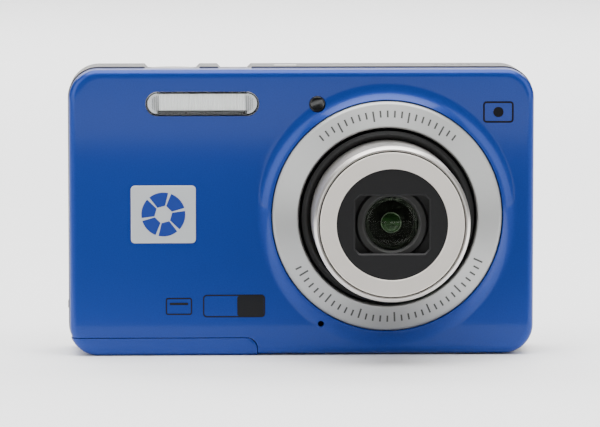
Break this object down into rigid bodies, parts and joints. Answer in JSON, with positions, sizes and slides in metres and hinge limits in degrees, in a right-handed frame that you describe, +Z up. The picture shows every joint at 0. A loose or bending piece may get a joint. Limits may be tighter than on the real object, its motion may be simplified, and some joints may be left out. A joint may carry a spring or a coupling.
{
  "type": "compact digital camera",
  "caption": "Pocket digital camera with a collapsing zoom lens, rear screen and keys, sliding battery door and tripod socket.",
  "frame": {"origin": "on the base, at the middle of the body's width and of its depth without the lens", "axes": "+X to the viewer's right when facing the lens, +Y to the back, +Z up; the lens points along -Y"},
  "size_m": [0.0918, 0.0398, 0.0565],
  "materials": {
    "blue_shell": "metallic blue lacquer, gloss",
    "grey_case": "satin grey paint",
    "silver_ring": "bead blasted and anodised",
    "bright_barrel": "turned and anodised",
    "dark_plastic": "matt moulded",
    "black_plastic": "matt black",
    "optical_glass": "coated",
    "clear_window": "clear moulded, ribbed behind",
    "screen_glass": "polished, black",
    "steel": "plain steel",
    "brass": "turned",
    "board": "green solder mask",
    "battery_wrap": "printed-free wrap",
    "rubber": "soft moulded, grey",
    "white_light": "milky light guide",
    "badge_silver": "polished",
    "reflector": "vacuum metallised",
    "button_silver": "satin paint",
    "gear_plastic": "moulded acetal"
  },
  "bodies": {
    "body": {"front_shell": "blue_shell", "middle_frame": "grey_case", "rear_cover": "grey_case", "lens_ring": "silver_ring", "badge_plate": "badge_silver", "strap_lug": "steel", "tripod_socket": "brass", "case_screws": "steel", "indicator_light": "white_light", "lens_base": "black_plastic", "focus_motor": "steel", "image_sensor": "screen_glass", "sensor_plate": "steel", "zoom_motor": "steel", "battery": "battery_wrap", "battery_case": "black_plastic", "battery_contacts": "brass", "card_slot": "steel", "memory_card": "dark_plastic", "main_board": "board", "switch_boards": "board", "port_connector": "steel", "flash_window": "clear_window", "flash_reflector": "reflector", "flash_tube": "clear_window", "flash_capacitor": "battery_wrap", "focus_lamp": "optical_glass", "microphone": "steel", "speaker": "black_plastic", "screen_panel": "black_plastic", "screen_glass": "screen_glass"},
    "zoom_barrel": {"zoom_barrel": "bright_barrel", "shutter_unit": "black_plastic", "middle_lens": "optical_glass"},
    "front_barrel": {"front_barrel": "black_plastic", "front_bezel": "bright_barrel", "barrier_plate": "dark_plastic", "lens_holder": "black_plastic", "front_lens": "optical_glass"},
    "upper_blade": {"upper_barrier_blade": "dark_plastic"},
    "lower_blade": {"lower_barrier_blade": "dark_plastic"},
    "cam_ring": {"cam_ring": "dark_plastic"},
    "drive_gear": {"drive_gear": "gear_plastic"},
    "motor_pinion": {"motor_pinion": "brass"},
    "focus_frame": {"focus_frame": "black_plastic", "focus_lens": "optical_glass"},
    "focus_screw": {"focus_screw": "steel"},
    "shutter_button": {"shutter_button": "button_silver"},
    "power_button": {"power_button": "button_silver"},
    "record_button": {"record_button": "button_silver"},
    "menu_button": {"menu_button": "button_silver"},
    "mode_button": {"mode_button": "button_silver"},
    "play_button": {"play_button": "button_silver"},
    "set_button": {"set_button": "button_silver"},
    "nav_pad": {"nav_pad": "button_silver"},
    "zoom_rocker": {"zoom_rocker": "button_silver"},
    "battery_latch": {"battery_latch": "gear_plastic"},
    "door_slider": {"door_slider": "steel"},
    "battery_door": {"battery_door": "blue_shell"},
    "port_cover": {"port_cover": "rubber"}
  },
  "joints": [
    {"name": "lens_extend", "type": "slide", "parent": "body", "child": "zoom_barrel", "axis": [0, -1, 0], "range_m": [-0.0161, 0]},
    {"name": "lens_zoom", "type": "slide", "parent": "zoom_barrel", "child": "front_barrel", "axis": [0, -1, 0], "range_m": [0, 0.006]},
    {"name": "barrier_close", "type": "slide", "parent": "front_barrel", "child": "upper_blade", "axis": [0, 0, -1], "range_m": [0, 0.00545]},
    {"name": "lower_blade_close", "type": "slide", "parent": "front_barrel", "child": "lower_blade", "axis": [0, 0, 1], "range_m": [0, 0.00545]},
    {"name": "cam_turn", "type": "hinge", "parent": "body", "child": "cam_ring", "pos_m": [0.0166, 0, 0.0276], "axis": [0, -1, 0], "range_deg": [-110.2, 0]},
    {"name": "drive_gear_turn", "type": "hinge", "parent": "body", "child": "drive_gear", "pos_m": [0.03145, 0.0044, 0.01275], "axis": [0, -1, 0], "range_deg": [0, 551]},
    {"name": "pinion_turn", "type": "hinge", "parent": "body", "child": "motor_pinion", "pos_m": [0.03516, 0.0044, 0.00904], "axis": [0, -1, 0], "range_deg": [-1102, 0]},
    {"name": "focus_slide", "type": "slide", "parent": "body", "child": "focus_frame", "axis": [0, 1, 0], "range_m": [0, 0.0009]},
    {"name": "focus_screw_turn", "type": "hinge", "parent": "body", "child": "focus_screw", "pos_m": [0.0261, 0.002, 0.0306], "axis": [0, 1, 0], "range_deg": [0, 650]},
    {"name": "shutter_press", "type": "slide", "parent": "body", "child": "shutter_button", "axis": [0, 0, -1], "range_m": [0, 0.0005], "stiffness_N_per_m": 500},
    {"name": "power_press", "type": "slide", "parent": "body", "child": "power_button", "axis": [0, 0, -1], "range_m": [0, 0.0004], "stiffness_N_per_m": 400},
    {"name": "record_press", "type": "slide", "parent": "body", "child": "record_button", "axis": [0, -1, 0], "range_m": [0, 0.0004], "stiffness_N_per_m": 400},
    {"name": "menu_press", "type": "slide", "parent": "body", "child": "menu_button", "axis": [0, -1, 0], "range_m": [0, 0.0004], "stiffness_N_per_m": 400},
    {"name": "mode_press", "type": "slide", "parent": "body", "child": "mode_button", "axis": [0, -1, 0], "range_m": [0, 0.0004], "stiffness_N_per_m": 400},
    {"name": "play_press", "type": "slide", "parent": "body", "child": "play_button", "axis": [0, -1, 0], "range_m": [0, 0.0004], "stiffness_N_per_m": 400},
    {"name": "set_press", "type": "slide", "parent": "body", "child": "set_button", "axis": [0, -1, 0], "range_m": [0, 0.0004], "stiffness_N_per_m": 400},
    {"name": "pad_tilt", "type": "hinge", "parent": "body", "child": "nav_pad", "pos_m": [-0.0265, 0.0076, 0.027], "axis": [1, 0, 0], "range_deg": [-2.5, 2.5], "stiffness_Nm_per_rad": 0.05},
    {"name": "rocker_tilt", "type": "hinge", "parent": "body", "child": "zoom_rocker", "pos_m": [-0.0245, 0.0076, 0.0478], "axis": [0, 0, 1], "range_deg": [-3, 3], "stiffness_Nm_per_rad": 0.05},
    {"name": "latch_slide", "type": "slide", "parent": "body", "child": "battery_latch", "axis": [1, 0, 0], "range_m": [0, 0.0018], "stiffness_N_per_m": 150},
    {"name": "door_slide", "type": "slide", "parent": "body", "child": "door_slider", "axis": [-1, 0, 0], "range_m": [0, 0.002]},
    {"name": "door_swing", "type": "hinge", "parent": "door_slider", "child": "battery_door", "pos_m": [-0.0265, 0.0069, 0.00145], "axis": [1, 0, 0], "range_deg": [0, 86]},
    {"name": "port_cover_swing", "type": "hinge", "parent": "body", "child": "port_cover", "pos_m": [-0.0458, 0.0061, 0.0176], "axis": [0, 1, 0], "range_deg": [0, 100]}
  ],
  "couplings": [
    {"joint": "lower_blade_close", "follows": "barrier_close", "ratio": 1},
    {"joint": "cam_turn", "follows": "lens_extend", "rad_per_m": 119.25},
    {"joint": "drive_gear_turn", "follows": "lens_extend", "rad_per_m": -596.23},
    {"joint": "pinion_turn", "follows": "lens_extend", "rad_per_m": 1192.5},
    {"joint": "focus_screw_turn", "follows": "focus_slide", "rad_per_m": 12566}
  ]
}
